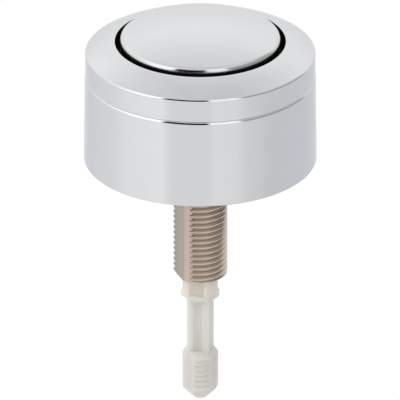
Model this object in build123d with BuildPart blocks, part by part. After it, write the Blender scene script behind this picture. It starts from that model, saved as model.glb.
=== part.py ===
from build123d import *

import math
import os

# Push button actuator for a cistern lid, in millimetres.
# The origin is the centre of the face that sits on the lid, and +Z is up along the button's axis.
# The flat on the stem faces -Y.

# Housing: the plated cup that stands on the lid
base_radius = 30.0
seam_radius = 29.68
housing_height = 23.75
housing_wall = 2.4
recess_depth = 4.0
floor_thickness = 3.0
seam_rounding = 0.85
base_rounding = 0.6

# Bezel: the plated ring that closes the housing round the button
bezel_step = 0.07
band_taper = 0.06
band_height = 6.05
crown_rise = 3.1
crown_bulge = 0.25
crown_width = 7.63
bezel_wall = 2.0
collar_wall = 1.6
collar_drop = 4.6
spigot_wall = 2.2
spigot_depth = 3.0
spigot_clearance = 0.1
bezel_rounding = 0.6
opening_rounding = 0.4

# Sealing ring round the bezel's spigot
seal_section = 1.2
seal_clearance = 0.05

# Button cap: the plated dome that is pressed
cap_gap = 1.35
cap_stand = 1.4
dome_rise = 3.1
cap_wall = 1.5
cap_rounding = 0.9
rim_height = 1.3
rim_undercut = 0.45
rim_rounding = 0.3

# Button carrier: the moulding that the cap snaps on to
carrier_overhang = 1.0
carrier_thickness = 2.0
hub_radius = 7.6
hub_stand = 1.9
clip_wall = 1.4
clip_height = 3.8
clip_clearance = 0.15
clip_bead = 0.5
clip_bead_height = 1.0
clip_lead = 0.4
clip_count = 6
clip_slot = 2.0
rib_wall = 1.5

# Buffer: the rubber ring that stops the carrier under the bezel
buffer_thickness = 1.0
buffer_width = 2.0
stop_gap = 0.1

# Travel of the button, and the room left under the hub at its end
stroke = 8.0
end_gap = 0.6

# Threaded stem: M14 x 1.5 below the lid's face and M16 x 1 above it for its own nut, with one flat and a
# relieved land beside it that the thread stops at; land_turn is from the middle of the flat to its far side
stem_radius = 7.0
fixing_radius = 8.0
stem_reach = 32.8
stem_chamfer = 0.15
stem_bore = 4.8
flat_distance = 6.1
thread_pitch = 1.5
thread_depth = 0.8
thread_root = 0.25
thread_flank = 60.0
land_turn = 49.0
land_relief = 0.1
groove_overrun = 0.2
flange_radius = 11.0
flange_thickness = 2.5
hole_clearance = 0.15
thread_clearance = 0.05

# Seal, washer and nut that hold the stem in the housing's floor
stem_seal_thickness = 0.8
washer_thickness = 0.8
washer_width = 3.0
washer_split = 1.5
stem_nut_height = 2.8
stem_nut_flats = 22.0

# Gasket under the housing
gasket_width = 7.0
gasket_clearance = 0.2

# Guide bush in the stem's top, keyed to the rod
bush_head_height = 3.0
bush_head_radius = 7.2
bush_spigot_radius = 5.6
bush_spigot_depth = 4.0
press_clearance = 0.05
rod_clearance = 0.15
key_clearance = 0.25

# Return spring round the hub
spring_wire = 1.2
spring_clearance = 0.5
spring_turns = 4.5

# Push rod: one nylon moulding, turned about its axis from the stem's flat
rod_turn = 54.0
guide_radius = 4.55
guide_web = 6.0
guide_slot = 4.2
lug_radius = 4.95
lug_angle = 48.0
lug_height = 1.4
lug_chamfer = 0.3
lug_gap = 4.86
shoulder_height = 1.7
shank_width = 5.9
shank_web = 4.4
shank_slot = 2.4
shank_length = 13.1
shank_rounding = 0.35
slot_overrun = 0.6
tip_shoulder = 2.0
tip_radius = 4.65
tip_flat_distance = 4.05
tip_flats = 3
tip_turn = -10.0
tip_length = 9.6
tip_end_radius = 1.6
rod_overrun = 0.6

# Nut that locks the rod in the carrier
rod_nut_height = 3.4
rod_nut_flats = 15.0

# Heights and radii that follow from the sizes above
cavity_radius = seam_radius - housing_wall
recess_radius = base_radius - housing_wall
floor_top = recess_depth + floor_thickness
flange_bottom = floor_top + stem_seal_thickness
flange_top = flange_bottom + flange_thickness
washer_bottom = recess_depth - washer_thickness

band_bottom_radius = seam_radius - bezel_step
band_top_radius = band_bottom_radius - band_taper
band_top = housing_height + band_height
opening_top = band_top + crown_rise
opening_radius = band_top_radius - crown_width
collar_radius = opening_radius + collar_wall
collar_bottom = opening_top - collar_drop
spigot_radius = cavity_radius - spigot_clearance
spigot_inner = spigot_radius - spigot_wall
spigot_bottom = housing_height - spigot_depth
seal_height = housing_height - spigot_depth / 2

disc_top = collar_bottom - stop_gap - buffer_thickness
disc_bottom = disc_top - carrier_thickness
carrier_radius = collar_radius + carrier_overhang
hub_top = disc_top + hub_stand
bush_top = flange_top + bush_head_height
bush_bottom = flange_top - bush_spigot_depth
hub_bottom = bush_top + stroke + end_gap

cap_radius = opening_radius - cap_gap
cap_inner = cap_radius - cap_wall
skirt_radius = cap_radius - rim_undercut
dome_edge = opening_top + cap_stand
rim_bottom = dome_edge - rim_height
clip_radius = cap_inner - clip_clearance
clip_top = disc_top + clip_height
bead_bottom = clip_top - clip_lead - clip_bead_height

groove_height = thread_depth + groove_overrun
groove_width = thread_root + 2 * groove_height / math.tan(math.radians(thread_flank))
groove_count = int((stem_reach - stem_chamfer) / thread_pitch)

lug_top = -stem_reach - lug_gap
guide_bottom = lug_top - lug_height
shank_top = guide_bottom - shoulder_height
shank_bottom = shank_top - shank_length
tip_top = shank_bottom - tip_shoulder
tip_bottom = tip_top - tip_length
rod_bottom = tip_bottom - (tip_radius - tip_end_radius)
rod_top = hub_top + rod_nut_height + rod_overrun
rod_plane = Plane.XY.rotated((0, 0, rod_turn))

os.makedirs("parts", exist_ok=True)


# Housing: a drafted cup with a floor, hollow below for the gasket, and a D-shaped hole for the stem
with BuildPart() as housing:
    with BuildSketch(Plane.XZ) as wall:
        with BuildLine():
            Polyline(
                (base_radius, 0),
                (seam_radius, housing_height),
                (cavity_radius, housing_height),
                (cavity_radius, floor_top),
                (0, floor_top),
                (0, recess_depth),
                (recess_radius, recess_depth),
                (recess_radius, 0),
                close=True,
            )
        make_face()
        fillet(wall.vertices().sort_by_distance((seam_radius, housing_height))[0], seam_rounding)
        fillet(wall.vertices().sort_by_distance((base_radius, 0))[0], base_rounding)
    revolve(axis=Axis.Z)
    with BuildSketch(Plane.XY.offset(recess_depth)):
        Circle(fixing_radius + hole_clearance)
        with Locations((0, -flat_distance - hole_clearance)):
            Rectangle(
                4 * fixing_radius,
                2 * fixing_radius,
                align=(Align.CENTER, Align.MAX),
                mode=Mode.SUBTRACT,
            )
    extrude(amount=floor_thickness, mode=Mode.SUBTRACT)
housing.part.label = "housing"
export_step(housing.part, "parts/housing.step")

# Bezel ring: an upright band, a crowned top that rises to the opening, a collar that hangs inside it
# and a spigot, grooved for its seal, that drops into the housing
crown_slope = crown_rise / crown_width
crown_drop = bezel_wall * math.hypot(1, crown_slope)
with BuildPart() as bezel_ring:
    with BuildSketch(Plane.XZ) as ring:
        with BuildLine():
            band = Line((band_bottom_radius, housing_height), (band_top_radius, band_top))
            crown = SagittaArc(band @ 1, (opening_radius, opening_top), -crown_bulge)
            Polyline(
                crown @ 1,
                (opening_radius, collar_bottom),
                (collar_radius, collar_bottom),
                (collar_radius, opening_top - crown_slope * collar_wall - crown_drop),
                (spigot_radius, band_top + crown_slope * (band_top_radius - spigot_radius) - crown_drop),
                (spigot_radius, housing_height + bezel_wall),
                (spigot_inner, housing_height + bezel_wall),
                (spigot_inner, spigot_bottom),
                (spigot_radius, spigot_bottom),
                (spigot_radius, housing_height),
                band @ 0,
            )
        make_face()
        fillet(ring.vertices().sort_by_distance(crown @ 0)[0], bezel_rounding)
        fillet(ring.vertices().sort_by_distance(crown @ 1)[0], opening_rounding)
    revolve(axis=Axis.Z)
    with BuildSketch(Plane.XZ):
        with Locations((spigot_radius, seal_height)):
            Rectangle(2 * seal_section, seal_section + 4 * seal_clearance)
    revolve(axis=Axis.Z, mode=Mode.SUBTRACT)
bezel_ring.part.label = "bezel_ring"
export_step(bezel_ring.part, "parts/bezel_ring.step")

# Bezel seal: a round rubber ring in the spigot's groove
with BuildPart() as bezel_seal:
    with BuildSketch(Plane.XZ):
        with Locations((cavity_radius - seal_clearance - seal_section / 2, seal_height)):
            Circle(seal_section / 2)
    revolve(axis=Axis.Z)
bezel_seal.part.label = "bezel_seal"
export_step(bezel_seal.part, "parts/bezel_seal.step")

# Button cap: a thin dome with a rounded rim and a straight skirt, grooved inside for the carrier's clips
dome_top = dome_edge + dome_rise
with BuildPart() as button_cap:
    with BuildSketch(Plane.XZ) as shell:
        with BuildLine():
            outside = TangentArc((0, dome_top), (cap_radius, dome_edge), tangent=(1, 0))
            inside = TangentArc((0, dome_top - cap_wall), (cap_inner, dome_edge - cap_wall), tangent=(1, 0))
            Polyline(
                outside @ 1,
                (cap_radius, rim_bottom),
                (skirt_radius, rim_bottom - rim_undercut),
                (skirt_radius, disc_top),
                (cap_inner, disc_top),
                inside @ 1,
            )
            Line(inside @ 0, outside @ 0)
        make_face()
        fillet(shell.vertices().sort_by_distance(outside @ 1)[0], cap_rounding)
        fillet(shell.vertices().sort_by_distance((cap_radius, rim_bottom))[0], rim_rounding)
    revolve(axis=Axis.Z)
    with BuildSketch(Plane.XZ):
        with Locations((cap_inner, bead_bottom - clip_clearance)):
            Rectangle(2 * clip_bead, clip_bead_height + 2 * clip_clearance, align=(Align.CENTER, Align.MIN))
    revolve(axis=Axis.Z, mode=Mode.SUBTRACT)
button_cap.part.label = "button_cap"
export_step(button_cap.part, "parts/button_cap.step")

# Button carrier: a disc with a hub for the rod, a ring of snap clips for the cap and ribs between them
with BuildPart() as button_carrier:
    with BuildSketch(Plane.XY.offset(disc_bottom)):
        Circle(carrier_radius)
    extrude(amount=carrier_thickness)
    with BuildSketch(Plane.XZ):
        with BuildLine():
            Polyline(
                (clip_radius, disc_top),
                (clip_radius, bead_bottom),
                (clip_radius + clip_bead, bead_bottom + clip_bead_height / 2),
                (clip_radius + clip_bead, bead_bottom + clip_bead_height),
                (clip_radius - clip_wall / 2, clip_top),
                (clip_radius - clip_wall, clip_top),
                (clip_radius - clip_wall, disc_top),
                close=True,
            )
        make_face()
    revolve(axis=Axis.Z)
    with BuildSketch(Plane.XY.offset(disc_top)):
        with PolarLocations(clip_radius - clip_wall / 2, clip_count):
            Rectangle(3 * clip_wall, clip_slot)
    extrude(amount=clip_height, mode=Mode.SUBTRACT)
    with BuildSketch(Plane.XY.offset(disc_top)):
        with PolarLocations(0, clip_count, start_angle=180 / clip_count):
            Rectangle(clip_radius - clip_wall / 2, rib_wall, align=(Align.MIN, Align.CENTER))
    extrude(amount=hub_stand)
    with BuildSketch(Plane.XY.offset(hub_bottom)):
        Circle(hub_radius)
    extrude(amount=hub_top - hub_bottom)
    with BuildSketch(Plane.XY.offset(hub_bottom)):
        Circle(guide_radius + thread_clearance)
    extrude(amount=hub_top - hub_bottom, mode=Mode.SUBTRACT)
button_carrier.part.label = "button_carrier"
export_step(button_carrier.part, "parts/button_carrier.step")

# Stop buffer: a flat rubber ring on the carrier, under the bezel's collar
with BuildPart() as stop_buffer:
    with BuildSketch(Plane.XY.offset(disc_top)):
        Circle(opening_radius + buffer_width)
        Circle(opening_radius, mode=Mode.SUBTRACT)
    extrude(amount=buffer_thickness)
stop_buffer.part.label = "stop_buffer"
export_step(stop_buffer.part, "parts/stop_buffer.step")

# Threaded stem: a stepped, flanged tube with one flat, chamfered at its end and counterbored for the bush.
# Rings of the M14 thread's section and pitch, which stop at the land, stand for its helix.
with BuildPart() as threaded_stem:
    with BuildSketch(Plane.XZ):
        with BuildLine():
            Polyline(
                (0, -stem_reach),
                (stem_radius - stem_chamfer, -stem_reach),
                (stem_radius, -stem_reach + stem_chamfer),
                (stem_radius, 0),
                (fixing_radius, 0),
                (fixing_radius, flange_bottom),
                (flange_radius, flange_bottom),
                (flange_radius, flange_top),
                (0, flange_top),
                close=True,
            )
        make_face()
    revolve(axis=Axis.Z)
    with BuildSketch(Plane.XZ.rotated((0, 0, land_turn - 90))):
        with Locations((stem_radius - thread_depth + groove_height / 2, -thread_pitch * groove_count / 2)):
            with GridLocations(thread_pitch, thread_pitch, 1, groove_count):
                Trapezoid(groove_width, groove_height, thread_flank, rotation=90)
    revolve(axis=Axis.Z, revolution_arc=360 - land_turn, mode=Mode.SUBTRACT)
    with BuildSketch(Plane.XZ.rotated((0, 0, -90))):
        with Locations((stem_radius - land_relief, -stem_reach)):
            Rectangle(stem_radius, stem_reach, align=(Align.MIN, Align.MIN))
    revolve(axis=Axis.Z, revolution_arc=land_turn, mode=Mode.SUBTRACT)
    with BuildSketch(Plane.XY.offset(-stem_reach)):
        with Locations((0, -flat_distance)):
            Rectangle(4 * fixing_radius, 2 * fixing_radius, align=(Align.CENTER, Align.MAX))
    extrude(amount=stem_reach + flange_bottom, mode=Mode.SUBTRACT)
    with Locations((0, 0, flange_top)):
        CounterBoreHole(stem_bore, bush_spigot_radius, bush_spigot_depth)
threaded_stem.part.label = "threaded_stem"
export_step(threaded_stem.part, "parts/threaded_stem.step")

# Stem seal: a flat ring between the stem's flange and the housing's floor
with BuildPart() as stem_seal:
    with BuildSketch(Plane.XY.offset(floor_top)):
        Circle(flange_radius)
        Circle(fixing_radius + hole_clearance, mode=Mode.SUBTRACT)
    extrude(amount=stem_seal_thickness)
stem_seal.part.label = "stem_seal"
export_step(stem_seal.part, "parts/stem_seal.step")

# Lock washer: a split ring under the floor
with BuildPart() as lock_washer:
    with BuildSketch(Plane.XY.offset(washer_bottom)):
        Circle(fixing_radius + washer_width)
        Circle(fixing_radius + hole_clearance, mode=Mode.SUBTRACT)
        Rectangle(
            fixing_radius + 2 * washer_width,
            washer_split,
            align=(Align.MIN, Align.CENTER),
            mode=Mode.SUBTRACT,
        )
    extrude(amount=washer_thickness)
lock_washer.part.label = "lock_washer"
export_step(lock_washer.part, "parts/lock_washer.step")


def hexagon_nut(bottom, flats, height, bore):
    """A hexagon nut with its corners turned off at both faces."""
    corner = flats / 2 / math.cos(math.pi / 6)
    corner_drop = (corner - flats / 2) * math.tan(math.pi / 6)
    with BuildPart() as nut:
        with BuildSketch(Plane.XY.offset(bottom)):
            RegularPolygon(flats / 2, 6, major_radius=False)
            Circle(bore, mode=Mode.SUBTRACT)
        extrude(amount=height)
        with BuildSketch(Plane.XZ):
            with BuildLine():
                Polyline(
                    (0, bottom),
                    (flats / 2, bottom),
                    (corner, bottom + corner_drop),
                    (corner, bottom + height - corner_drop),
                    (flats / 2, bottom + height),
                    (0, bottom + height),
                    close=True,
                )
            make_face()
        revolve(axis=Axis.Z, mode=Mode.INTERSECT)
    return nut


# Stem nut: a thin nut that draws the stem's flange on to the floor
stem_nut = hexagon_nut(
    washer_bottom - stem_nut_height, stem_nut_flats, stem_nut_height, fixing_radius + thread_clearance
)
stem_nut.part.label = "stem_nut"
export_step(stem_nut.part, "parts/stem_nut.step")

# Base gasket: a foam ring in the housing's hollow, flush with the lid's face
with BuildPart() as base_gasket:
    with BuildSketch(Plane.XY):
        Circle(recess_radius - gasket_clearance)
        Circle(recess_radius - gasket_clearance - gasket_width, mode=Mode.SUBTRACT)
    extrude(amount=recess_depth)
base_gasket.part.label = "base_gasket"
export_step(base_gasket.part, "parts/base_gasket.step")

# Guide bush: a headed bush in the stem's counterbore, with two keys that run in the rod's slots
with BuildPart() as guide_bush:
    with BuildSketch(Plane.XY.offset(bush_bottom)):
        Circle(bush_spigot_radius - press_clearance)
    extrude(amount=bush_spigot_depth)
    with BuildSketch(Plane.XY.offset(flange_top)):
        Circle(bush_head_radius)
    extrude(amount=bush_head_height)
    with BuildSketch(rod_plane.offset(bush_bottom)):
        Circle(guide_radius + rod_clearance)
        with PolarLocations(guide_web / 2 + key_clearance, 2, start_angle=90):
            Rectangle(
                2 * guide_radius,
                guide_slot - 2 * key_clearance,
                align=(Align.MIN, Align.CENTER),
                mode=Mode.SUBTRACT,
            )
    extrude(amount=bush_top - bush_bottom, mode=Mode.SUBTRACT)
guide_bush.part.label = "guide_bush"
export_step(guide_bush.part, "parts/guide_bush.step")

# Return spring: wire coiled round the hub, drawn with eight sides, with its end turns ground flat
spring_length = disc_bottom - flange_top
coil_radius = hub_radius + spring_clearance + spring_wire / 2
with BuildPart() as return_spring:
    with BuildLine() as coil:
        Helix(spring_length / spring_turns, spring_length, coil_radius, center=(0, 0, flange_top))
    with BuildSketch(Plane(coil.line @ 0, z_dir=coil.line % 0)):
        RegularPolygon(spring_wire / 2, 8)
    sweep(is_frenet=True)
    split(bisect_by=Plane.XY.offset(flange_top), keep=Keep.TOP)
    split(bisect_by=Plane.XY.offset(disc_bottom), keep=Keep.BOTTOM)
return_spring.part.label = "return_spring"
export_step(return_spring.part, "parts/return_spring.step")

# Push rod: a round guide slotted on both sides, two snap lugs below the stem, a slotted square shank,
# and a tip with flats between the arcs that carry its thread
with BuildPart() as push_rod:
    with BuildSketch(rod_plane.offset(tip_top)):
        RectangleRounded(shank_width, shank_width, shank_rounding)
    extrude(amount=guide_bottom - tip_top)
    with BuildSketch(Plane.XZ):
        with BuildLine():
            Polyline(
                (0, rod_top),
                (guide_radius - rod_overrun, rod_top),
                (guide_radius, rod_top - rod_overrun),
                (guide_radius, guide_bottom),
                (shank_width / 2, shank_top),
                (0, shank_top),
                close=True,
            )
        make_face()
        with BuildLine():
            Polyline(
                (0, shank_bottom),
                (shank_width / 2, shank_bottom),
                (tip_radius, tip_top),
                (tip_radius, tip_bottom),
                (tip_end_radius, rod_bottom),
                (0, rod_bottom),
                close=True,
            )
        make_face()
    revolve(axis=Axis.Z)
    with BuildSketch(rod_plane.offset(rod_bottom)):
        with PolarLocations(tip_flat_distance, tip_flats, start_angle=tip_turn):
            Rectangle(2 * tip_radius, 4 * tip_radius, align=(Align.MIN, Align.CENTER))
    extrude(amount=shank_bottom - rod_bottom, mode=Mode.SUBTRACT)
    for side in (0, 180):
        with BuildSketch(Plane.XZ.rotated((0, 0, rod_turn + side - lug_angle / 2))):
            with BuildLine():
                Polyline(
                    (shank_width / 2, lug_top),
                    (lug_radius - lug_chamfer, lug_top),
                    (lug_radius, lug_top - lug_chamfer),
                    (lug_radius, guide_bottom),
                    (shank_width / 2, shank_top),
                    close=True,
                )
            make_face()
        revolve(axis=Axis.Z, revolution_arc=lug_angle)
    with BuildSketch(rod_plane.offset(guide_bottom + slot_overrun)):
        with PolarLocations(guide_web / 2, 2, start_angle=90):
            Rectangle(2 * guide_radius, guide_slot, align=(Align.MIN, Align.CENTER))
    extrude(amount=hub_bottom - end_gap / 2 - guide_bottom - slot_overrun, mode=Mode.SUBTRACT)
    with BuildSketch(rod_plane.offset(shank_bottom - slot_overrun)):
        with PolarLocations(shank_web / 2, 2, start_angle=90):
            Rectangle(2 * guide_radius, shank_slot, align=(Align.MIN, Align.CENTER))
    extrude(amount=shank_length + slot_overrun, mode=Mode.SUBTRACT)
push_rod.part.label = "push_rod"
export_step(push_rod.part, "parts/push_rod.step")

# Rod nut: locks the rod in the carrier's hub
rod_nut = hexagon_nut(hub_top, rod_nut_flats, rod_nut_height, guide_radius + thread_clearance)
rod_nut.part.label = "rod_nut"
export_step(rod_nut.part, "parts/rod_nut.step")
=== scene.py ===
import math

import bmesh
import bpy
from mathutils import Matrix, Vector


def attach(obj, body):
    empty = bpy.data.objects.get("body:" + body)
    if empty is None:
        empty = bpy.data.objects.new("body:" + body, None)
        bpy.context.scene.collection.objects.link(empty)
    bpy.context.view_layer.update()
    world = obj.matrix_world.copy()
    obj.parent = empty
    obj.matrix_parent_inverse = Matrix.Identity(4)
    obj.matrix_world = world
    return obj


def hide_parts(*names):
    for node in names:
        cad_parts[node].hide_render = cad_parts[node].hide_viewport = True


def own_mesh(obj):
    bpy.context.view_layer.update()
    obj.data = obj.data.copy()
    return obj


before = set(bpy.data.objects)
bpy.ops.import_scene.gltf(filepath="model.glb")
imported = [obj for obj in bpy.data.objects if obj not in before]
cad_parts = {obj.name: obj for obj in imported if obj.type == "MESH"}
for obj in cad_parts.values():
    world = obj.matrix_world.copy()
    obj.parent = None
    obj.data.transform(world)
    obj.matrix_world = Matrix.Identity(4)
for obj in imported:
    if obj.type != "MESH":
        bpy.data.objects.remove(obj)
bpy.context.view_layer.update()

# Housing: the cup that stands on the cistern lid and carries every other piece. It is die cast, turned
# true, polished and chrome plated. Its eased upper rim is the lower bright line round the side.


def turn_profile(profile, steps, closed=True):
    """A profile of (radius, height) points in millimetres, turned once round the button's axis."""
    bm = bmesh.new()
    points = [bm.verts.new((r / 1000, 0, z / 1000)) for r, z in profile]
    following = points[1:] + points[:1] if closed else points[1:]
    sides = [bm.edges.new(pair) for pair in zip(points, following)]
    bmesh.ops.spin(
        bm,
        geom=points + sides,
        cent=(0, 0, 0),
        axis=(0, 0, 1),
        angle=2 * math.pi,
        steps=steps,
        use_merge=True,
    )
    bmesh.ops.remove_doubles(bm, verts=bm.verts[:], dist=1e-7)
    bmesh.ops.recalc_face_normals(bm, faces=bm.faces[:])
    return bm


def ease_rim(bm, radius, height, width, segments):
    """Rounds the edge that runs round a turned piece at one radius and height, in millimetres."""
    rim = [
        e
        for e in bm.edges
        if all(
            abs(math.hypot(v.co.x, v.co.y) * 1000 - radius) < 2e-3 and abs(v.co.z * 1000 - height) < 2e-3
            for v in e.verts
        )
    ]
    bmesh.ops.bevel(
        bm,
        geom=rim,
        offset=width / 1000,
        offset_type="OFFSET",
        segments=segments,
        profile=0.5,
        affect="EDGES",
        material=-1,
    )


def add_shell(bm, shell):
    """Puts another closed shell into the same piece."""
    mesh = bpy.data.meshes.new("shell")
    shell.to_mesh(mesh)
    shell.free()
    bm.from_mesh(mesh)
    bpy.data.meshes.remove(mesh)


def fit_piece(name, bm, finish, body, node):
    """Makes the finished mesh a piece that moves with its body and stands for its CAD node."""
    mesh = bpy.data.meshes.new(name)
    bm.to_mesh(mesh)
    bm.free()
    mesh.materials.append(finish)
    mesh.shade_smooth()
    mesh.set_sharp_from_angle(angle=math.radians(33))
    piece = bpy.data.objects.new(name, mesh)
    bpy.context.scene.collection.objects.link(piece)
    even = piece.modifiers.new("even_normals", "WEIGHTED_NORMAL")
    even.weight = 80
    even.keep_sharp = True
    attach(piece, body)
    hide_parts(node)
    return piece


def new_group(name, inputs, outputs):
    """An empty node group with named value inputs and outputs of (name, socket type)."""
    group = bpy.data.node_groups.new(name, "ShaderNodeTree")
    for label, value in inputs:
        socket = group.interface.new_socket(label, in_out="INPUT", socket_type="NodeSocketFloat")
        socket.default_value = value
    for label, kind in outputs:
        group.interface.new_socket(label, in_out="OUTPUT", socket_type=kind)
    return group, group.nodes.new("NodeGroupInput"), group.nodes.new("NodeGroupOutput")


def new_finish(name):
    """A material with nothing in it but its Principled shader."""
    finish = bpy.data.materials.new(name)
    finish.use_nodes = True
    return finish, finish.node_tree, finish.node_tree.nodes["Principled BSDF"]


def fade(tree, value, start, stop):
    """A share that goes from 0 to 1 as the value goes from start to stop."""
    share = tree.nodes.new("ShaderNodeMapRange")
    share.inputs["From Min"].default_value = start
    share.inputs["From Max"].default_value = stop
    tree.links.new(value, share.inputs["Value"])
    return share


# Axial place: how far a point is from the button's axis, and how high it is
axial, _, axial_out = new_group(
    "axial_place", [], [("Radius", "NodeSocketFloat"), ("Height", "NodeSocketFloat")]
)
axial_place = axial.nodes.new("ShaderNodeTexCoord")
axial_parts = axial.nodes.new("ShaderNodeSeparateXYZ")
axial_across = axial.nodes.new("ShaderNodeCombineXYZ")
axial_radius = axial.nodes.new("ShaderNodeVectorMath")
axial_radius.operation = "LENGTH"
axial.links.new(axial_place.outputs["Object"], axial_parts.inputs["Vector"])
axial.links.new(axial_parts.outputs["X"], axial_across.inputs["X"])
axial.links.new(axial_parts.outputs["Y"], axial_across.inputs["Y"])
axial.links.new(axial_across.outputs["Vector"], axial_radius.inputs[0])
axial.links.new(axial_radius.outputs["Value"], axial_out.inputs["Radius"])
axial.links.new(axial_parts.outputs["Z"], axial_out.inputs["Height"])


# Polish: the slow unevenness that buffing leaves under plate, and the faint cloudiness of handled chrome
polish, polish_in, polish_out = new_group(
    "buffed_surface",
    [("Wave Scale", 45.0), ("Haze Scale", 160.0), ("Clear", 0.05), ("Cloudy", 0.09)],
    [("Roughness", "NodeSocketFloat"), ("Height", "NodeSocketFloat"), ("Haze", "NodeSocketFloat")],
)
polish_place = polish.nodes.new("ShaderNodeTexCoord")
polish_wave = polish.nodes.new("ShaderNodeTexNoise")
polish_wave.inputs["Detail"].default_value = 1.0
polish_haze = polish.nodes.new("ShaderNodeTexNoise")
polish_haze.inputs["Detail"].default_value = 4.0
polish_range = polish.nodes.new("ShaderNodeMapRange")
polish_range.inputs["From Min"].default_value = 0.3
polish_range.inputs["From Max"].default_value = 0.7
polish.links.new(polish_place.outputs["Object"], polish_wave.inputs["Vector"])
polish.links.new(polish_place.outputs["Object"], polish_haze.inputs["Vector"])
polish.links.new(polish_in.outputs["Wave Scale"], polish_wave.inputs["Scale"])
polish.links.new(polish_in.outputs["Haze Scale"], polish_haze.inputs["Scale"])
polish.links.new(polish_haze.outputs["Fac"], polish_range.inputs["Value"])
polish.links.new(polish_in.outputs["Clear"], polish_range.inputs["To Min"])
polish.links.new(polish_in.outputs["Cloudy"], polish_range.inputs["To Max"])
polish.links.new(polish_range.outputs["Result"], polish_out.inputs["Roughness"])
polish.links.new(polish_wave.outputs["Fac"], polish_out.inputs["Height"])
polish.links.new(polish_haze.outputs["Fac"], polish_out.inputs["Haze"])

# Plate: bright all over, except in the gap round the button and low on the cap's rim and skirt. These are
# painted near black and made rougher, as painted shade in the gap and a painted dark reflection of it,
# fading in from above
chrome, tree, shader = new_finish("chrome_plate")
buffed = tree.nodes.new("ShaderNodeGroup")
buffed.node_tree = polish
tone = tree.nodes.new("ShaderNodeMix")
tone.data_type = "RGBA"
tone.inputs["A"].default_value = (0.715, 0.722, 0.735, 1)
tone.inputs["B"].default_value = (0.745, 0.750, 0.758, 1)
ripple = tree.nodes.new("ShaderNodeBump")
ripple.inputs["Strength"].default_value = 0.03
ripple.inputs["Distance"].default_value = 0.0002
shader.inputs["Metallic"].default_value = 1.0
gap_place = tree.nodes.new("ShaderNodeGroup")
gap_place.node_tree = axial
# Painted shade: the gap's walls and the cap's rim below its top are painted near black
gap_inside = fade(tree, gap_place.outputs["Radius"], 0.02200, 0.02194)
gap_below = fade(tree, gap_place.outputs["Height"], 0.0340, 0.0324)
painted_gap_shade = tree.nodes.new("ShaderNodeMath")
painted_gap_shade.operation = "MULTIPLY"
gap_shade_tone = tree.nodes.new("ShaderNodeMix")
gap_shade_tone.data_type = "RGBA"
gap_shade_tone.inputs["B"].default_value = (0.02, 0.02, 0.021, 1)
gap_gloss = tree.nodes.new("ShaderNodeMix")
gap_gloss.inputs["B"].default_value = 0.6
tree.links.new(gap_inside.outputs["Result"], painted_gap_shade.inputs[0])
tree.links.new(gap_below.outputs["Result"], painted_gap_shade.inputs[1])
tree.links.new(painted_gap_shade.outputs["Value"], gap_shade_tone.inputs["Factor"])
tree.links.new(painted_gap_shade.outputs["Value"], gap_gloss.inputs["Factor"])
tree.links.new(buffed.outputs["Haze"], tone.inputs["Factor"])
tree.links.new(tone.outputs["Result"], gap_shade_tone.inputs["A"])
tree.links.new(gap_shade_tone.outputs["Result"], shader.inputs["Base Color"])
tree.links.new(buffed.outputs["Roughness"], gap_gloss.inputs["A"])
tree.links.new(gap_gloss.outputs["Result"], shader.inputs["Roughness"])
tree.links.new(buffed.outputs["Height"], ripple.inputs["Height"])
tree.links.new(ripple.outputs["Normal"], shader.inputs["Normal"])

rim_radius, rim_height, base_radius, lip_radius, wall_radius = 29.68, 23.75, 30.0, 27.6, 27.28
housing = turn_profile(
    [
        (base_radius, 0.0),
        (rim_radius, rim_height),
        (wall_radius, rim_height),
        (wall_radius, 7.0),
        (8.15, 7.0),
        (8.15, 4.0),
        (lip_radius, 4.0),
        (lip_radius, 0.0),
    ],
    steps=224,
)
ease_rim(housing, rim_radius, rim_height, 0.84, 12)
ease_rim(housing, base_radius, 0.0, 0.61, 8)
ease_rim(housing, lip_radius, 0.0, 0.2, 3)
ease_rim(housing, wall_radius, rim_height, 0.2, 3)
# The hole in the floor is a round one with a land across it, which the flat on the stem bears on
key_land = bmesh.new()
bmesh.ops.create_circle(
    key_land, cap_ends=True, segments=96, radius=0.0082, matrix=Matrix.Translation((0, 0, 0.004))
)
bmesh.ops.bisect_plane(
    key_land,
    geom=key_land.verts[:] + key_land.edges[:] + key_land.faces[:],
    plane_co=(0, -0.00625, 0),
    plane_no=(0, 1, 0),
    clear_outer=True,
)
raised = bmesh.ops.extrude_face_region(key_land, geom=key_land.faces[:])["geom"]
raised_corners = [g for g in raised if isinstance(g, bmesh.types.BMVert)]
bmesh.ops.translate(key_land, vec=(0, 0, 0.003), verts=raised_corners)
bmesh.ops.recalc_face_normals(key_land, faces=key_land.faces[:])
add_shell(housing, key_land)
fit_piece("plated_housing", housing, chrome, "housing", "housing")

# Gasket: a flat ring of closed-cell foam, cut from sheet and pressed into the hollow under the housing.
# Fine cells show on its face.
grain, grain_in, grain_out = new_group(
    "fine_grain",
    [("Grain Scale", 1500.0), ("Cloud Scale", 120.0)],
    [("Grain", "NodeSocketFloat"), ("Cloud", "NodeSocketFloat")],
)
grain_place = grain.nodes.new("ShaderNodeTexCoord")
grain_fine = grain.nodes.new("ShaderNodeTexNoise")
grain_fine.inputs["Detail"].default_value = 3.0
grain_cloud = grain.nodes.new("ShaderNodeTexNoise")
grain_cloud.inputs["Detail"].default_value = 2.0
grain.links.new(grain_place.outputs["Object"], grain_fine.inputs["Vector"])
grain.links.new(grain_place.outputs["Object"], grain_cloud.inputs["Vector"])
grain.links.new(grain_in.outputs["Grain Scale"], grain_fine.inputs["Scale"])
grain.links.new(grain_in.outputs["Cloud Scale"], grain_cloud.inputs["Scale"])
grain.links.new(grain_fine.outputs["Fac"], grain_out.inputs["Grain"])
grain.links.new(grain_cloud.outputs["Fac"], grain_out.inputs["Cloud"])


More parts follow.
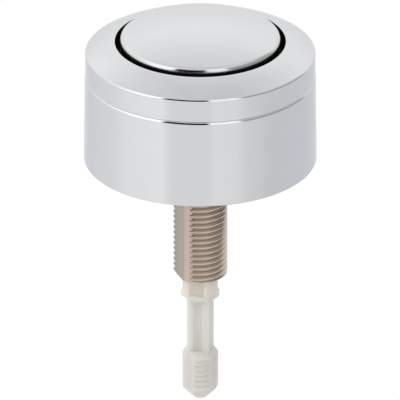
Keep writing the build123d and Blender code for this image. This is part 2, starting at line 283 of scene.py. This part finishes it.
def grained_finish(name, dark, pale, rough, smooth, grain_scale, depth):
    """A plastic, rubber or foam whose tone drifts between two colours, with a fine grain in relief."""
    finish, tree, shader = new_finish(name)
    surface = tree.nodes.new("ShaderNodeGroup")
    surface.node_tree = grain
    surface.inputs["Grain Scale"].default_value = grain_scale
    tone = tree.nodes.new("ShaderNodeMix")
    tone.data_type = "RGBA"
    tone.inputs["A"].default_value = (*dark, 1)
    tone.inputs["B"].default_value = (*pale, 1)
    gloss = tree.nodes.new("ShaderNodeMapRange")
    gloss.inputs["To Min"].default_value = rough
    gloss.inputs["To Max"].default_value = smooth
    relief = tree.nodes.new("ShaderNodeBump")
    relief.inputs["Strength"].default_value = 0.35
    relief.inputs["Distance"].default_value = depth
    tree.links.new(surface.outputs["Cloud"], tone.inputs["Factor"])
    tree.links.new(tone.outputs["Result"], shader.inputs["Base Color"])
    tree.links.new(surface.outputs["Grain"], gloss.inputs["Value"])
    tree.links.new(gloss.outputs["Result"], shader.inputs["Roughness"])
    tree.links.new(surface.outputs["Grain"], relief.inputs["Height"])
    tree.links.new(relief.outputs["Normal"], shader.inputs["Normal"])
    return finish, shader


foam, foam_shader = grained_finish(
    "cut_foam", (0.035, 0.035, 0.038), (0.065, 0.065, 0.07), 0.95, 0.8, 1800, 0.00012
)
foam_shader.inputs["Specular IOR Level"].default_value = 0.2
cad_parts["base_gasket"].material_slots[0].material = foam

# Stem nut and lock washer: a thin brass nut, nickel plated, drawn up on a split steel washer under the
# housing's floor. The wrench flats keep faint cutter lines.
nickel, tree, shader = new_finish("nickelled_brass")
nut_place = tree.nodes.new("ShaderNodeTexCoord")
nut_drawn = tree.nodes.new("ShaderNodeMapping")
nut_drawn.inputs["Scale"].default_value = (600, 600, 4000)
nut_lines = tree.nodes.new("ShaderNodeTexNoise")
nut_lines.inputs["Scale"].default_value = 1.0
nut_lines.inputs["Detail"].default_value = 3.0
nut_tone = tree.nodes.new("ShaderNodeMix")
nut_tone.data_type = "RGBA"
nut_tone.inputs["A"].default_value = (0.47, 0.39, 0.34, 1)
nut_tone.inputs["B"].default_value = (0.60, 0.52, 0.47, 1)
nut_gloss = tree.nodes.new("ShaderNodeMapRange")
nut_gloss.inputs["To Min"].default_value = 0.26
nut_gloss.inputs["To Max"].default_value = 0.42
shader.inputs["Metallic"].default_value = 1.0
tree.links.new(nut_place.outputs["Object"], nut_drawn.inputs["Vector"])
tree.links.new(nut_drawn.outputs["Vector"], nut_lines.inputs["Vector"])
tree.links.new(nut_lines.outputs["Fac"], nut_tone.inputs["Factor"])
tree.links.new(nut_tone.outputs["Result"], shader.inputs["Base Color"])
tree.links.new(nut_lines.outputs["Fac"], nut_gloss.inputs["Value"])
tree.links.new(nut_gloss.outputs["Result"], shader.inputs["Roughness"])
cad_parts["stem_nut"].material_slots[0].material = nickel

steel, tree, shader = new_finish("spring_steel")
steel_buffed = tree.nodes.new("ShaderNodeGroup")
steel_buffed.node_tree = polish
steel_buffed.inputs["Haze Scale"].default_value = 900
steel_buffed.inputs["Clear"].default_value = 0.24
steel_buffed.inputs["Cloudy"].default_value = 0.4
steel_tone = tree.nodes.new("ShaderNodeMix")
steel_tone.data_type = "RGBA"
steel_tone.inputs["A"].default_value = (0.46, 0.46, 0.48, 1)
steel_tone.inputs["B"].default_value = (0.60, 0.60, 0.61, 1)
shader.inputs["Metallic"].default_value = 1.0
tree.links.new(steel_buffed.outputs["Haze"], steel_tone.inputs["Factor"])
tree.links.new(steel_tone.outputs["Result"], shader.inputs["Base Color"])
tree.links.new(steel_buffed.outputs["Roughness"], shader.inputs["Roughness"])
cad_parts["lock_washer"].material_slots[0].material = steel

# Stem seal: a flat rubber ring under the stem's flange, inside the housing. It keeps cleaning water out
# of the cistern.
rubber = grained_finish(
    "black_rubber", (0.022, 0.022, 0.023), (0.036, 0.036, 0.037), 0.62, 0.5, 2600, 0.00004
)[0]
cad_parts["stem_seal"].material_slots[0].material = rubber

# Threaded stem: a brass tube with a flange at its top, screw-cut along its length, milled flat on one
# side so that it can't turn in the lid, chamfered at its end and nickel plated.


def cut_thread(bottom, top, pitch, root, crest, lift, blank, steps=96):
    """A right-hand thread skin between two heights, kept within blank(height, turn) = (least, most) radius.

    Sizes are in millimetres and turn is in degrees from +X. The thread is moved up by lift, which is from
    -pitch to 0, because a higher start would leave the skin open at its bottom.
    """
    bm = bmesh.new()
    start = bottom - pitch + lift
    turns = math.ceil((top - start) / pitch) + 1
    tooth = [(root, 0.0), (root, 0.2), (crest, 0.5), (crest, 0.66), (root, 1.0)]
    points = [bm.verts.new((r / 1000, 0, (start + share * pitch) / 1000)) for r, share in tooth]
    sides = [bm.edges.new(pair) for pair in zip(points, points[1:])]
    bmesh.ops.subdivide_edges(bm, edges=sides, cuts=2)
    bmesh.ops.spin(
        bm,
        geom=bm.verts[:] + bm.edges[:],
        cent=(0, 0, 0),
        axis=(0, 0, 1),
        dvec=(0, 0, pitch / steps / 1000),
        angle=2 * math.pi,
        steps=steps,
    )
    first_turn = bm.verts[:] + bm.edges[:] + bm.faces[:]
    for number in range(1, turns):
        copied = bmesh.ops.duplicate(bm, geom=first_turn)["geom"]
        moved = [g for g in copied if isinstance(g, bmesh.types.BMVert)]
        bmesh.ops.translate(bm, vec=(0, 0, number * pitch / 1000), verts=moved)
    bmesh.ops.remove_doubles(bm, verts=bm.verts[:], dist=1e-6)
    for height, way in ((bottom, -1), (top, 1)):
        bmesh.ops.bisect_plane(
            bm,
            geom=bm.verts[:] + bm.edges[:] + bm.faces[:],
            plane_co=(0, 0, height / 1000),
            plane_no=(0, 0, way),
            clear_outer=True,
        )
    for v in bm.verts:
        least, most = blank(v.co.z * 1000, math.degrees(math.atan2(v.co.y, v.co.x)))
        radius = math.hypot(v.co.x, v.co.y) * 1000
        v.co.xy *= min(max(radius, least), most) / radius
    bmesh.ops.remove_doubles(bm, verts=bm.verts[:], dist=1e-6)
    return bm


def mill_flat(bm, distance, turn, open_ends):
    """Cuts a flat whose normal is at turn degrees from +X, and closes it at the skin's open ends."""
    away = Vector((math.cos(math.radians(turn)), math.sin(math.radians(turn)), 0))
    cut = bmesh.ops.bisect_plane(
        bm,
        geom=bm.verts[:] + bm.edges[:] + bm.faces[:],
        plane_co=away * distance / 1000,
        plane_no=away,
        clear_outer=True,
    )["geom_cut"]
    edges = [g for g in cut if isinstance(g, bmesh.types.BMEdge)]
    for height in open_ends:
        corners = [g for g in cut if isinstance(g, bmesh.types.BMVert)]
        edges.append(bm.edges.new([v for v in corners if abs(v.co.z * 1000 - height) < 1e-4]))
    bmesh.ops.contextual_create(bm, geom=edges)


stem_end, stem_top, thread_pitch, stem_root, stem_crest_radius = -32.8, 0.2, 1.5, 6.2, 7.0
bore_radius, flat_distance, flat_turn = 4.8, 6.1, -90


def stem_blank(height, turn):
    """The land beside the flat, which the thread runs out at, and the chamfer at the stem's lower end."""
    land = min(max((-38.5 - turn) / 4.8, 0.0), 1.0) if turn > flat_turn else 0.0
    return stem_root + 0.7 * land, min(stem_crest_radius - 0.1 * land, 6.85 + height - stem_end)


stem = cut_thread(stem_end, stem_top, thread_pitch, stem_root, stem_crest_radius, -1.303, stem_blank)
mill_flat(stem, flat_distance, flat_turn, (stem_end, stem_top))
bmesh.ops.create_circle(
    stem, segments=96, radius=bore_radius / 1000, matrix=Matrix.Translation((0, 0, stem_end / 1000))
)
bore = bmesh.ops.extrude_edge_only(stem, edges=[e for e in stem.edges if e.is_wire])["geom"]
bore_top = [g for g in bore if isinstance(g, bmesh.types.BMVert)]
bmesh.ops.translate(stem, vec=(0, 0, (stem_top - stem_end) / 1000), verts=bore_top)
for height in (stem_end / 1000, stem_top / 1000):
    rings = [e for e in stem.edges if e.is_boundary and all(abs(v.co.z - height) < 1e-6 for v in e.verts)]
    bmesh.ops.triangle_fill(stem, edges=rings, use_beauty=True)
bmesh.ops.recalc_face_normals(stem, faces=stem.faces[:])
bush_seat = 5.6
keyed = turn_profile(
    [
        (bore_radius, 0.0),
        (8.0, 0.0),
        (8.0, 7.9),
        (bush_seat, 7.9),
        (bush_seat, 6.3),
        (bore_radius, 6.3),
    ],
    steps=96,
)
mill_flat(keyed, flat_distance, flat_turn, ())
add_shell(stem, keyed)
flange_radius, flange_bottom, flange_top = 11.0, 7.8, 10.3
flange = turn_profile(
    [
        (bush_seat, flange_bottom),
        (flange_radius, flange_bottom),
        (flange_radius, flange_top),
        (bush_seat, flange_top),
    ],
    steps=96,
)
ease_rim(flange, flange_radius, flange_bottom, 0.25, 3)
ease_rim(flange, flange_radius, flange_top, 0.25, 3)
add_shell(stem, flange)

# Its plate is painted darker in the thread's roots, as painted shade in the grooves, and paler on the
# crests. The flat is darker at its left edge and paler towards its right
plated_thread, tree, shader = new_finish("plated_thread")
stem_place = tree.nodes.new("ShaderNodeTexCoord")
stem_axial = tree.nodes.new("ShaderNodeGroup")
stem_axial.node_tree = axial
# Painted shade: the thread's roots are painted darker than its crests
stem_root_shade = fade(tree, stem_axial.outputs["Radius"], 0.0062, 0.00695)
stem_root_shade.interpolation_type = "SMOOTHSTEP"
stem_cloud = tree.nodes.new("ShaderNodeTexNoise")
stem_cloud.inputs["Scale"].default_value = 260
stem_cloud.inputs["Detail"].default_value = 3.0
stem_crest = tree.nodes.new("ShaderNodeMix")
stem_crest.data_type = "RGBA"
stem_crest.inputs["A"].default_value = (0.67, 0.575, 0.50, 1)
stem_crest.inputs["B"].default_value = (0.75, 0.645, 0.56, 1)
stem_tone = tree.nodes.new("ShaderNodeMix")
stem_tone.data_type = "RGBA"
stem_tone.inputs["A"].default_value = (0.47, 0.385, 0.315, 1)
stem_facing = tree.nodes.new("ShaderNodeVectorMath")
stem_facing.operation = "DOT_PRODUCT"
stem_facing.inputs[1].default_value = (0.170, -0.985, 0)
stem_smooth = fade(tree, stem_facing.outputs["Value"], 0.00530, 0.00538)
stem_aside = tree.nodes.new("ShaderNodeVectorMath")
stem_aside.operation = "DOT_PRODUCT"
stem_aside.inputs[1].default_value = (0.985, 0.170, 0)
stem_side = fade(tree, stem_aside.outputs["Value"], -0.0044, 0.0044)
# The flat's colour runs from dark at its left edge to paler brass towards its right
stem_flat_ramp = tree.nodes.new("ShaderNodeValToRGB")
flat_ramp_tones = (
    (0.0, 0.31, 0.265, 0.23),
    (0.3, 0.415, 0.35, 0.302),
    (0.74, 0.46, 0.38, 0.327),
    (0.82, 0.54, 0.445, 0.385),
)
while len(stem_flat_ramp.color_ramp.elements) < len(flat_ramp_tones):
    stem_flat_ramp.color_ramp.elements.new(1.0)
for element, (place, *tone) in zip(stem_flat_ramp.color_ramp.elements, flat_ramp_tones):
    element.position = place
    element.color = (*tone, 1)
stem_colour = tree.nodes.new("ShaderNodeMix")
stem_colour.data_type = "RGBA"
stem_gloss = tree.nodes.new("ShaderNodeMapRange")
stem_gloss.inputs["To Min"].default_value = 0.24
stem_gloss.inputs["To Max"].default_value = 0.36
shader.inputs["Metallic"].default_value = 0.75
tree.links.new(stem_place.outputs["Object"], stem_cloud.inputs["Vector"])
tree.links.new(stem_cloud.outputs["Fac"], stem_crest.inputs["Factor"])
tree.links.new(stem_root_shade.outputs["Result"], stem_tone.inputs["Factor"])
tree.links.new(stem_crest.outputs["Result"], stem_tone.inputs["B"])
tree.links.new(stem_place.outputs["Object"], stem_facing.inputs[0])
tree.links.new(stem_place.outputs["Object"], stem_aside.inputs[0])
tree.links.new(stem_side.outputs["Result"], stem_flat_ramp.inputs["Fac"])
tree.links.new(stem_smooth.outputs["Result"], stem_colour.inputs["Factor"])
tree.links.new(stem_tone.outputs["Result"], stem_colour.inputs["A"])
tree.links.new(stem_flat_ramp.outputs["Color"], stem_colour.inputs["B"])
tree.links.new(stem_colour.outputs["Result"], shader.inputs["Base Color"])
tree.links.new(stem_cloud.outputs["Fac"], stem_gloss.inputs["Value"])
tree.links.new(stem_gloss.outputs["Result"], shader.inputs["Roughness"])
fit_piece("screw_cut_stem", stem, plated_thread, "housing", "threaded_stem")

# Guide bush: a headed nylon moulding pressed into the stem's top. It guides the rod, and two keys inside it
# run in the rod's slots, so that the button can't turn.
nylon, nylon_shader = grained_finish(
    "natural_nylon", (0.555, 0.548, 0.512), (0.605, 0.595, 0.56), 0.52, 0.42, 900, 0.00003
)
nylon_shader.inputs["Subsurface Weight"].default_value = 1.0
nylon_shader.inputs["Subsurface Radius"].default_value = (1.0, 0.96, 0.9)
nylon_shader.inputs["Subsurface Scale"].default_value = 0.010
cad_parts["guide_bush"].material_slots[0].material = nylon

# Return spring: round steel wire coiled round the carrier's hub, its end turns ground flat. It stands on
# the stem's flange and lifts the button.
wire_radius, coil_radius, coil_bottom, coil_length = 0.0006, 0.0087, 0.0103, 0.0149
coil_turns, coil_steps = 4.5, 270
coil = bmesh.new()
bmesh.ops.create_circle(
    coil,
    segments=14,
    radius=wire_radius,
    matrix=Matrix.Translation((coil_radius, 0, coil_bottom)) @ Matrix.Rotation(math.radians(90), 4, "X"),
)
bmesh.ops.spin(
    coil,
    geom=coil.verts[:] + coil.edges[:],
    cent=(0, 0, 0),
    axis=(0, 0, 1),
    dvec=(0, 0, coil_length / coil_steps),
    angle=2 * math.pi * coil_turns,
    steps=coil_steps,
)
bmesh.ops.holes_fill(coil, edges=[e for e in coil.edges if e.is_boundary])
for height, way in ((coil_bottom, -1), (coil_bottom + coil_length, 1)):
    bmesh.ops.bisect_plane(
        coil,
        geom=coil.verts[:] + coil.edges[:] + coil.faces[:],
        plane_co=(0, 0, height),
        plane_no=(0, 0, way),
        clear_outer=True,
    )
    bmesh.ops.triangle_fill(coil, edges=[e for e in coil.edges if e.is_boundary], use_beauty=True)
bmesh.ops.recalc_face_normals(coil, faces=coil.faces[:])
if coil.calc_volume(signed=True) < 0:
    bmesh.ops.reverse_faces(coil, faces=coil.faces[:])
spring = fit_piece("coil_spring", coil, steel, "housing", "return_spring")
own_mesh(spring)

# Push rod: one nylon moulding that comes down through the stem. It has two snap lugs, a slotted square
# shank and a tip with a moulded thread between three flats, for an extension.
rod = bmesh.new()
rod.from_mesh(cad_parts["push_rod"].data)
bmesh.ops.remove_doubles(rod, verts=rod.verts[:], dist=1e-6)
bmesh.ops.dissolve_limit(rod, angle_limit=math.radians(1), verts=rod.verts[:], edges=rod.edges[:])
bmesh.ops.bisect_plane(
    rod,
    geom=rod.verts[:] + rod.edges[:] + rod.faces[:],
    plane_co=(0, 0, -0.0559),
    plane_no=(0, 0, -1),
    clear_outer=True,
)


tip_end, tip_top, tip_root, tip_crest, tip_end_radius = -68.51, -56.2, 4.22, 4.65, 1.6
first_flat, flat_spacing = 44, 120


def tip_blank(height, turn):
    """The plain stretch above the tip's thread, the edges beside its flats, and the chamfer at its end."""
    off_middle = abs((turn - first_flat) % flat_spacing - flat_spacing / 2)
    beside_flat = min(max((off_middle - 22) / 6, 0.0), 1.0)
    least = max(tip_root + (tip_crest - tip_root) * beside_flat, tip_crest + (height + 56.3) * 2)
    return min(tip_crest, least), min(tip_crest, tip_end_radius + height - tip_end)


tip = cut_thread(tip_end, tip_top, thread_pitch, tip_root, tip_crest, -0.24, tip_blank)
for number in range(3):
    mill_flat(tip, 4.05, first_flat + number * flat_spacing, (tip_top,))
end_edges = [e for e in tip.edges if e.is_boundary and e.verts[0].co.z * 1000 < tip_end + 0.5]
bmesh.ops.holes_fill(tip, edges=end_edges)
add_shell(rod, tip)
bmesh.ops.bridge_loops(rod, edges=[e for e in rod.edges if e.is_boundary])
bmesh.ops.recalc_face_normals(rod, faces=rod.faces[:])

# Its nylon is painted paler and warmer above the lugs, as painted light bounced from the brass, and paler in
# the shank's slots, as painted light
rod_nylon = nylon.copy()
rod_nylon.name = "rod_nylon"
tree = rod_nylon.node_tree
rod_shader = tree.nodes[nylon_shader.name]
rod_tone = rod_shader.inputs["Base Color"].links[0].from_socket
rod_place = tree.nodes.new("ShaderNodeGroup")
rod_place.node_tree = axial
rod_neck = fade(tree, rod_place.outputs["Height"], -0.0392, -0.0377)
rod_inside = fade(tree, rod_place.outputs["Radius"], 0.00264, 0.00252)
rod_above_tip = fade(tree, rod_place.outputs["Height"], -0.0570, -0.0565)
# Painted light: warm bounce above the lugs, and a paler tone in the shank's slots
rod_painted_brass_bounce = tree.nodes.new("ShaderNodeMix")
rod_painted_brass_bounce.data_type = "RGBA"
rod_painted_brass_bounce.blend_type = "MULTIPLY"
rod_painted_brass_bounce.inputs["B"].default_value = (1.17, 1.11, 1.07, 1)
rod_slot_share = tree.nodes.new("ShaderNodeMath")
rod_slot_share.operation = "MULTIPLY"
rod_painted_slot_light = tree.nodes.new("ShaderNodeMix")
rod_painted_slot_light.data_type = "RGBA"
rod_painted_slot_light.blend_type = "MULTIPLY"
rod_painted_slot_light.inputs["B"].default_value = (1.055, 1.05, 1.08, 1)
tree.links.new(rod_neck.outputs["Result"], rod_painted_brass_bounce.inputs["Factor"])
tree.links.new(rod_tone, rod_painted_brass_bounce.inputs["A"])
tree.links.new(rod_inside.outputs["Result"], rod_slot_share.inputs[0])
tree.links.new(rod_above_tip.outputs["Result"], rod_slot_share.inputs[1])
tree.links.new(rod_slot_share.outputs["Value"], rod_painted_slot_light.inputs["Factor"])
tree.links.new(rod_painted_brass_bounce.outputs["Result"], rod_painted_slot_light.inputs["A"])
tree.links.new(rod_painted_slot_light.outputs["Result"], rod_shader.inputs["Base Color"])
fit_piece("moulded_rod", rod, rod_nylon, "button", "push_rod")

# Button carrier, its lock nut and the stop buffer: a black moulding that the cap snaps on to, a nylon nut
# that locks the rod in it, and a rubber ring that meets the bezel when the button comes up.
carrier = grained_finish(
    "black_moulding", (0.018, 0.018, 0.019), (0.03, 0.03, 0.031), 0.55, 0.42, 1400, 0.00004
)[0]
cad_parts["button_carrier"].material_slots[0].material = carrier
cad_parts["rod_nut"].material_slots[0].material = nylon
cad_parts["stop_buffer"].material_slots[0].material = rubber

# Button cap: the dome that is pressed, a thin casting polished and chrome plated, with a rounded rim and a
# straight skirt that runs down inside the bezel's opening.
cap_radius, hollow_radius, cap_top, hollow_top, dome_rise, rim_bottom = 20.57, 19.07, 37.4, 35.9, 3.1, 33.0


def domed(top, edge, radii):
    """Points of a dome that falls by dome_rise from its top to its edge."""
    curve = (edge**2 + dome_rise**2) / (2 * dome_rise)
    return [(r, top - curve + math.sqrt(curve**2 - r**2)) for r in radii]


dome = domed(cap_top, cap_radius, (0, 2, 4, 6, 8, 10, 12, 14, 16, 18, cap_radius))
hollow = domed(hollow_top, hollow_radius, (hollow_radius, 15, 11, 7, 3, 0))
skirt = [(cap_radius, rim_bottom), (20.12, 32.55), (20.12, 27.2), (hollow_radius, 27.2)]
cap = turn_profile(dome + skirt + hollow, steps=224, closed=False)
ease_rim(cap, cap_radius, cap_top - dome_rise, 1.0, 12)
ease_rim(cap, cap_radius, rim_bottom, 0.12, 4)
fit_piece("plated_button", cap, chrome, "button", "button_cap")

# Bezel ring and its seal: a plated ring with a sloping, slightly crowned top, pushed into the housing by a
# spigot with a rubber ring in its groove. Its eased outer edge is the upper bright line.
crown_edge, crown_foot, opening_radius, opening_top = 29.55, 29.8, 21.92, 32.9
crown_steps, crown_swell = 12, 0.25
crown = []
for step in range(crown_steps + 1):
    share = step / crown_steps
    swell = crown_swell * 4 * share * (1 - share)
    crown.append(
        (
            crown_edge + (opening_radius - crown_edge) * share + 0.376 * swell,
            crown_foot + (opening_top - crown_foot) * share + 0.926 * swell,
        )
    )
bezel = turn_profile(
    [(29.61, rim_height)]
    + crown
    + [
        (opening_radius, 28.3),
        (23.52, 28.3),
        (23.52, 30.09),
        (27.18, 28.6),
        (27.18, 25.75),
        (24.98, 25.75),
        (24.98, 20.75),
        (27.18, 20.75),
        (27.18, 21.55),
        (25.98, 21.55),
        (25.98, 22.95),
        (27.18, 22.95),
        (27.18, rim_height),
    ],
    steps=224,
)
ease_rim(bezel, crown_edge, crown_foot, 0.36, 8)
ease_rim(bezel, opening_radius, opening_top, 0.1, 4)
fit_piece("plated_bezel", bezel, chrome, "housing", "bezel_ring")
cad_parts["bezel_seal"].material_slots[0].material = rubber

# Studio: a white sweep, soft light from all round with a key from the upper left, and for the chrome two
# tall soft boxes with a dark gap between them, in front and a little to the left.
scene = bpy.context.scene
scene.view_settings.view_transform = "Standard"
below_pressed_rod = -0.078
sweep_mesh = bpy.data.meshes.new("white_sweep")
sweep_bm = bmesh.new()
bmesh.ops.create_grid(
    sweep_bm, x_segments=1, y_segments=1, size=1.5, matrix=Matrix.Translation((0, 0, below_pressed_rod))
)
sweep_bm.to_mesh(sweep_mesh)
sweep_bm.free()
sweep = bpy.data.objects.new("white_sweep", sweep_mesh)
scene.collection.objects.link(sweep)
sweep.visible_glossy = False
paper, tree, shader = new_finish("white_paper")
shader.inputs["Base Color"].default_value = (0.9, 0.9, 0.9, 1)
shader.inputs["Roughness"].default_value = 0.9
seen = tree.nodes.new("ShaderNodeLightPath")
white = tree.nodes.new("ShaderNodeEmission")
white.inputs["Strength"].default_value = 1.0
either = tree.nodes.new("ShaderNodeMath")
either.operation = "MAXIMUM"
show = tree.nodes.new("ShaderNodeMixShader")
tree.links.new(seen.outputs["Is Camera Ray"], either.inputs[0])
tree.links.new(seen.outputs["Is Transmission Ray"], either.inputs[1])
tree.links.new(either.outputs["Value"], show.inputs["Fac"])
tree.links.new(shader.outputs["BSDF"], show.inputs[1])
tree.links.new(white.outputs["Emission"], show.inputs[2])
paper_side = tree.nodes.new("ShaderNodeNewGeometry")
clear = tree.nodes.new("ShaderNodeBsdfTransparent")
from_below = tree.nodes.new("ShaderNodeMixShader")
tree.links.new(paper_side.outputs["Backfacing"], from_below.inputs["Fac"])
tree.links.new(show.outputs["Shader"], from_below.inputs[1])
tree.links.new(clear.outputs["BSDF"], from_below.inputs[2])
tree.links.new(from_below.outputs["Shader"], tree.nodes["Material Output"].inputs["Surface"])
sweep_mesh.materials.append(paper)

studio = bpy.data.worlds.new("studio")
studio.use_nodes = True
scene.world = studio
tree = studio.node_tree
light = tree.nodes["Background"]
way = tree.nodes.new("ShaderNodeTexCoord")
facing = tree.nodes.new("ShaderNodeMapping")
facing.inputs["Rotation"].default_value = (0, 0, math.radians(22.1))
around = tree.nodes.new("ShaderNodeTexGradient")
around.gradient_type = "RADIAL"
up = tree.nodes.new("ShaderNodeSeparateXYZ")
tree.links.new(way.outputs["Generated"], facing.inputs["Vector"])
tree.links.new(facing.outputs["Vector"], around.inputs["Vector"])
tree.links.new(way.outputs["Generated"], up.inputs["Vector"])


def tone_ramp(stops, source):
    """A ramp of (place, tone, blue, share) stops: a grey, the blue added to it, and the ramp's alpha."""
    ramp = tree.nodes.new("ShaderNodeValToRGB")
    ramp.color_ramp.interpolation = "EASE"
    elements = ramp.color_ramp.elements
    while len(elements) < len(stops):
        elements.new(1.0)
    for element, (place, tone, blue, share) in zip(elements, stops):
        element.position = place
        element.color = (tone, tone + blue * 0.4, tone + blue, share)
    tree.links.new(source, ramp.inputs["Fac"])
    return ramp


def round_ramp(stops):
    """A ramp round the studio, with its places in degrees to the right of the camera."""
    return tone_ramp([(0.5 + degrees / 360, *rest) for degrees, *rest in stops], around.outputs["Fac"])


def blend(low, high, share):
    """Goes from one tone to the other as the share goes from 0 to 1."""
    mix = tree.nodes.new("ShaderNodeMix")
    mix.data_type = "RGBA"
    tree.links.new(share, mix.inputs["Factor"])
    tree.links.new(low, mix.inputs["A"])
    tree.links.new(high, mix.inputs["B"])
    return mix.outputs["Result"]


def height_share(start, stop):
    """Goes from 0 to 1 as the sine of the height above the horizon goes from start to stop."""
    share = tree.nodes.new("ShaderNodeMapRange")
    share.interpolation_type = "SMOOTHSTEP"
    share.inputs["From Min"].default_value = start
    share.inputs["From Max"].default_value = stop
    tree.links.new(up.outputs["Z"], share.inputs["Value"])
    return share.outputs["Result"]


floor_tone = round_ramp(
    [
        (-180, 0.84, 0.02, 1),
        (-150, 0.76, 0.03, 1),
        (-110, 0.85, 0.02, 1),
        (-68, 0.98, 0, 1),
        (-40, 1.01, 0, 1),
        (-27, 0.87, 0, 1),
        (6, 0.87, 0, 1),
        (16, 0.93, 0, 1),
        (33, 0.91, 0, 1),
        (52, 0.80, 0, 1),
        (76, 0.72, 0.03, 1),
        (122, 0.71, 0.05, 1),
        (150, 0.72, 0.05, 1),
        (180, 0.84, 0.02, 1),
    ]
)
box_tone = round_ramp(
    [
        (-130, 1.0, 0, 0),
        (-112, 1.0, 0, 0.6),
        (-90, 1.15, 0, 1),
        (-62, 1.45, 0, 1),
        (-40, 1.45, 0, 1),
        (-34, 0.0, 0, 1),
        (6, 0.0, 0, 1),
        (11, 1.25, 0, 1),
        (36, 1.25, 0, 1),
        (44, 0.42, 0, 1),
        (112, 0.5, 0, 1),
        (135, 0.9, 0, 0),
    ]
)
heights = tree.nodes.new("ShaderNodeMapRange")
heights.inputs["From Min"].default_value = -1.0
tree.links.new(up.outputs["Z"], heights.inputs["Value"])
sky_tone = tone_ramp(
    [
        (0.355, 0.84, 0.02, 1),
        (0.43, 0.83, 0.02, 1),
        (0.585, 0.92, 0.01, 1),
        (0.65, 0.985, 0, 1),
        (0.73, 1.03, 0, 1),
        (0.77, 1.03, 0, 1),
        (0.81, 0.995, 0.01, 1),
        (0.86, 0.935, 0.01, 1),
        (0.895, 0.875, 0.02, 1),
        (0.935, 0.825, 0.03, 1),
        (0.97, 0.77, 0.03, 1),
        (1.0, 0.74, 0.03, 1),
    ],
    heights.outputs["Result"],
)
side_drift = round_ramp(
    [
        (-180, 0.99, 0, 1),
        (-161, 0.975, 0, 1),
        (-148, 1.02, 0, 1),
        (-60, 1.0, 0, 1),
        (60, 0.98, 0, 1),
        (148, 0.955, 0, 1),
        (161, 0.965, 0, 1),
        (180, 0.99, 0, 1),
    ]
)
drifted = tree.nodes.new("ShaderNodeMix")
drifted.data_type = "RGBA"
drifted.blend_type = "MULTIPLY"
drifted.inputs["Factor"].default_value = 1.0
tree.links.new(sky_tone.outputs["Color"], drifted.inputs["A"])
tree.links.new(side_drift.outputs["Color"], drifted.inputs["B"])
box_share = tree.nodes.new("ShaderNodeMath")
box_share.operation = "MULTIPLY"
tree.links.new(box_tone.outputs["Alpha"], box_share.inputs[0])
tree.links.new(height_share(0.88, 0.5), box_share.inputs[1])
upper_tone = blend(drifted.outputs["Result"], box_tone.outputs["Color"], box_share.outputs["Value"])
mirror_tone = blend(floor_tone.outputs["Color"], upper_tone, height_share(-0.36, -0.2))
ray = tree.nodes.new("ShaderNodeLightPath")
mirrored = tree.nodes.new("ShaderNodeMix")
mirrored.data_type = "RGBA"
mirrored.inputs["A"].default_value = (0.82, 0.82, 0.82, 1)
shown = tree.nodes.new("ShaderNodeMix")
shown.data_type = "RGBA"
shown.inputs["B"].default_value = (1, 1, 1, 1)
through = tree.nodes.new("ShaderNodeMath")
through.operation = "MAXIMUM"
tree.links.new(ray.outputs["Is Glossy Ray"], mirrored.inputs["Factor"])
tree.links.new(mirror_tone, mirrored.inputs["B"])
tree.links.new(ray.outputs["Is Camera Ray"], through.inputs[0])
tree.links.new(ray.outputs["Is Transmission Ray"], through.inputs[1])
tree.links.new(through.outputs["Value"], shown.inputs["Factor"])
tree.links.new(mirrored.outputs["Result"], shown.inputs["A"])
tree.links.new(shown.outputs["Result"], light.inputs["Color"])

key_data = bpy.data.lights.new("key", "AREA")
key_data.size = 0.5
key_data.energy = 2.2
key = bpy.data.objects.new("key", key_data)
key.location = (0.164, -0.600, 0.42)
key.rotation_mode = "QUATERNION"
key.rotation_quaternion = (-Vector(key.location)).to_track_quat("-Z", "Y")
key.visible_glossy = False
scene.collection.objects.link(key)

# Camera: a long lens well back, so that lines hardly converge. It looks down on the button, with the flat on
# the stem at the left.
camera_data = bpy.data.cameras.new("camera")
camera_data.lens = 1046.5
camera_data.sensor_width = 36
camera_data.clip_start = 0.05
camera_data.clip_end = 20
camera = bpy.data.objects.new("camera", camera_data)
turn, rise, distance = math.radians(67.9), math.radians(25.5), 3.0
back = Vector((math.sin(turn) * math.cos(rise), -math.cos(turn) * math.cos(rise), math.sin(rise)))
aim = Vector((-0.00003, -0.00007, -0.01227))
camera.location = aim + back * distance
camera.rotation_mode = "QUATERNION"
camera.rotation_quaternion = (-back).to_track_quat("-Z", "Y")
scene.collection.objects.link(camera)
scene.camera = camera
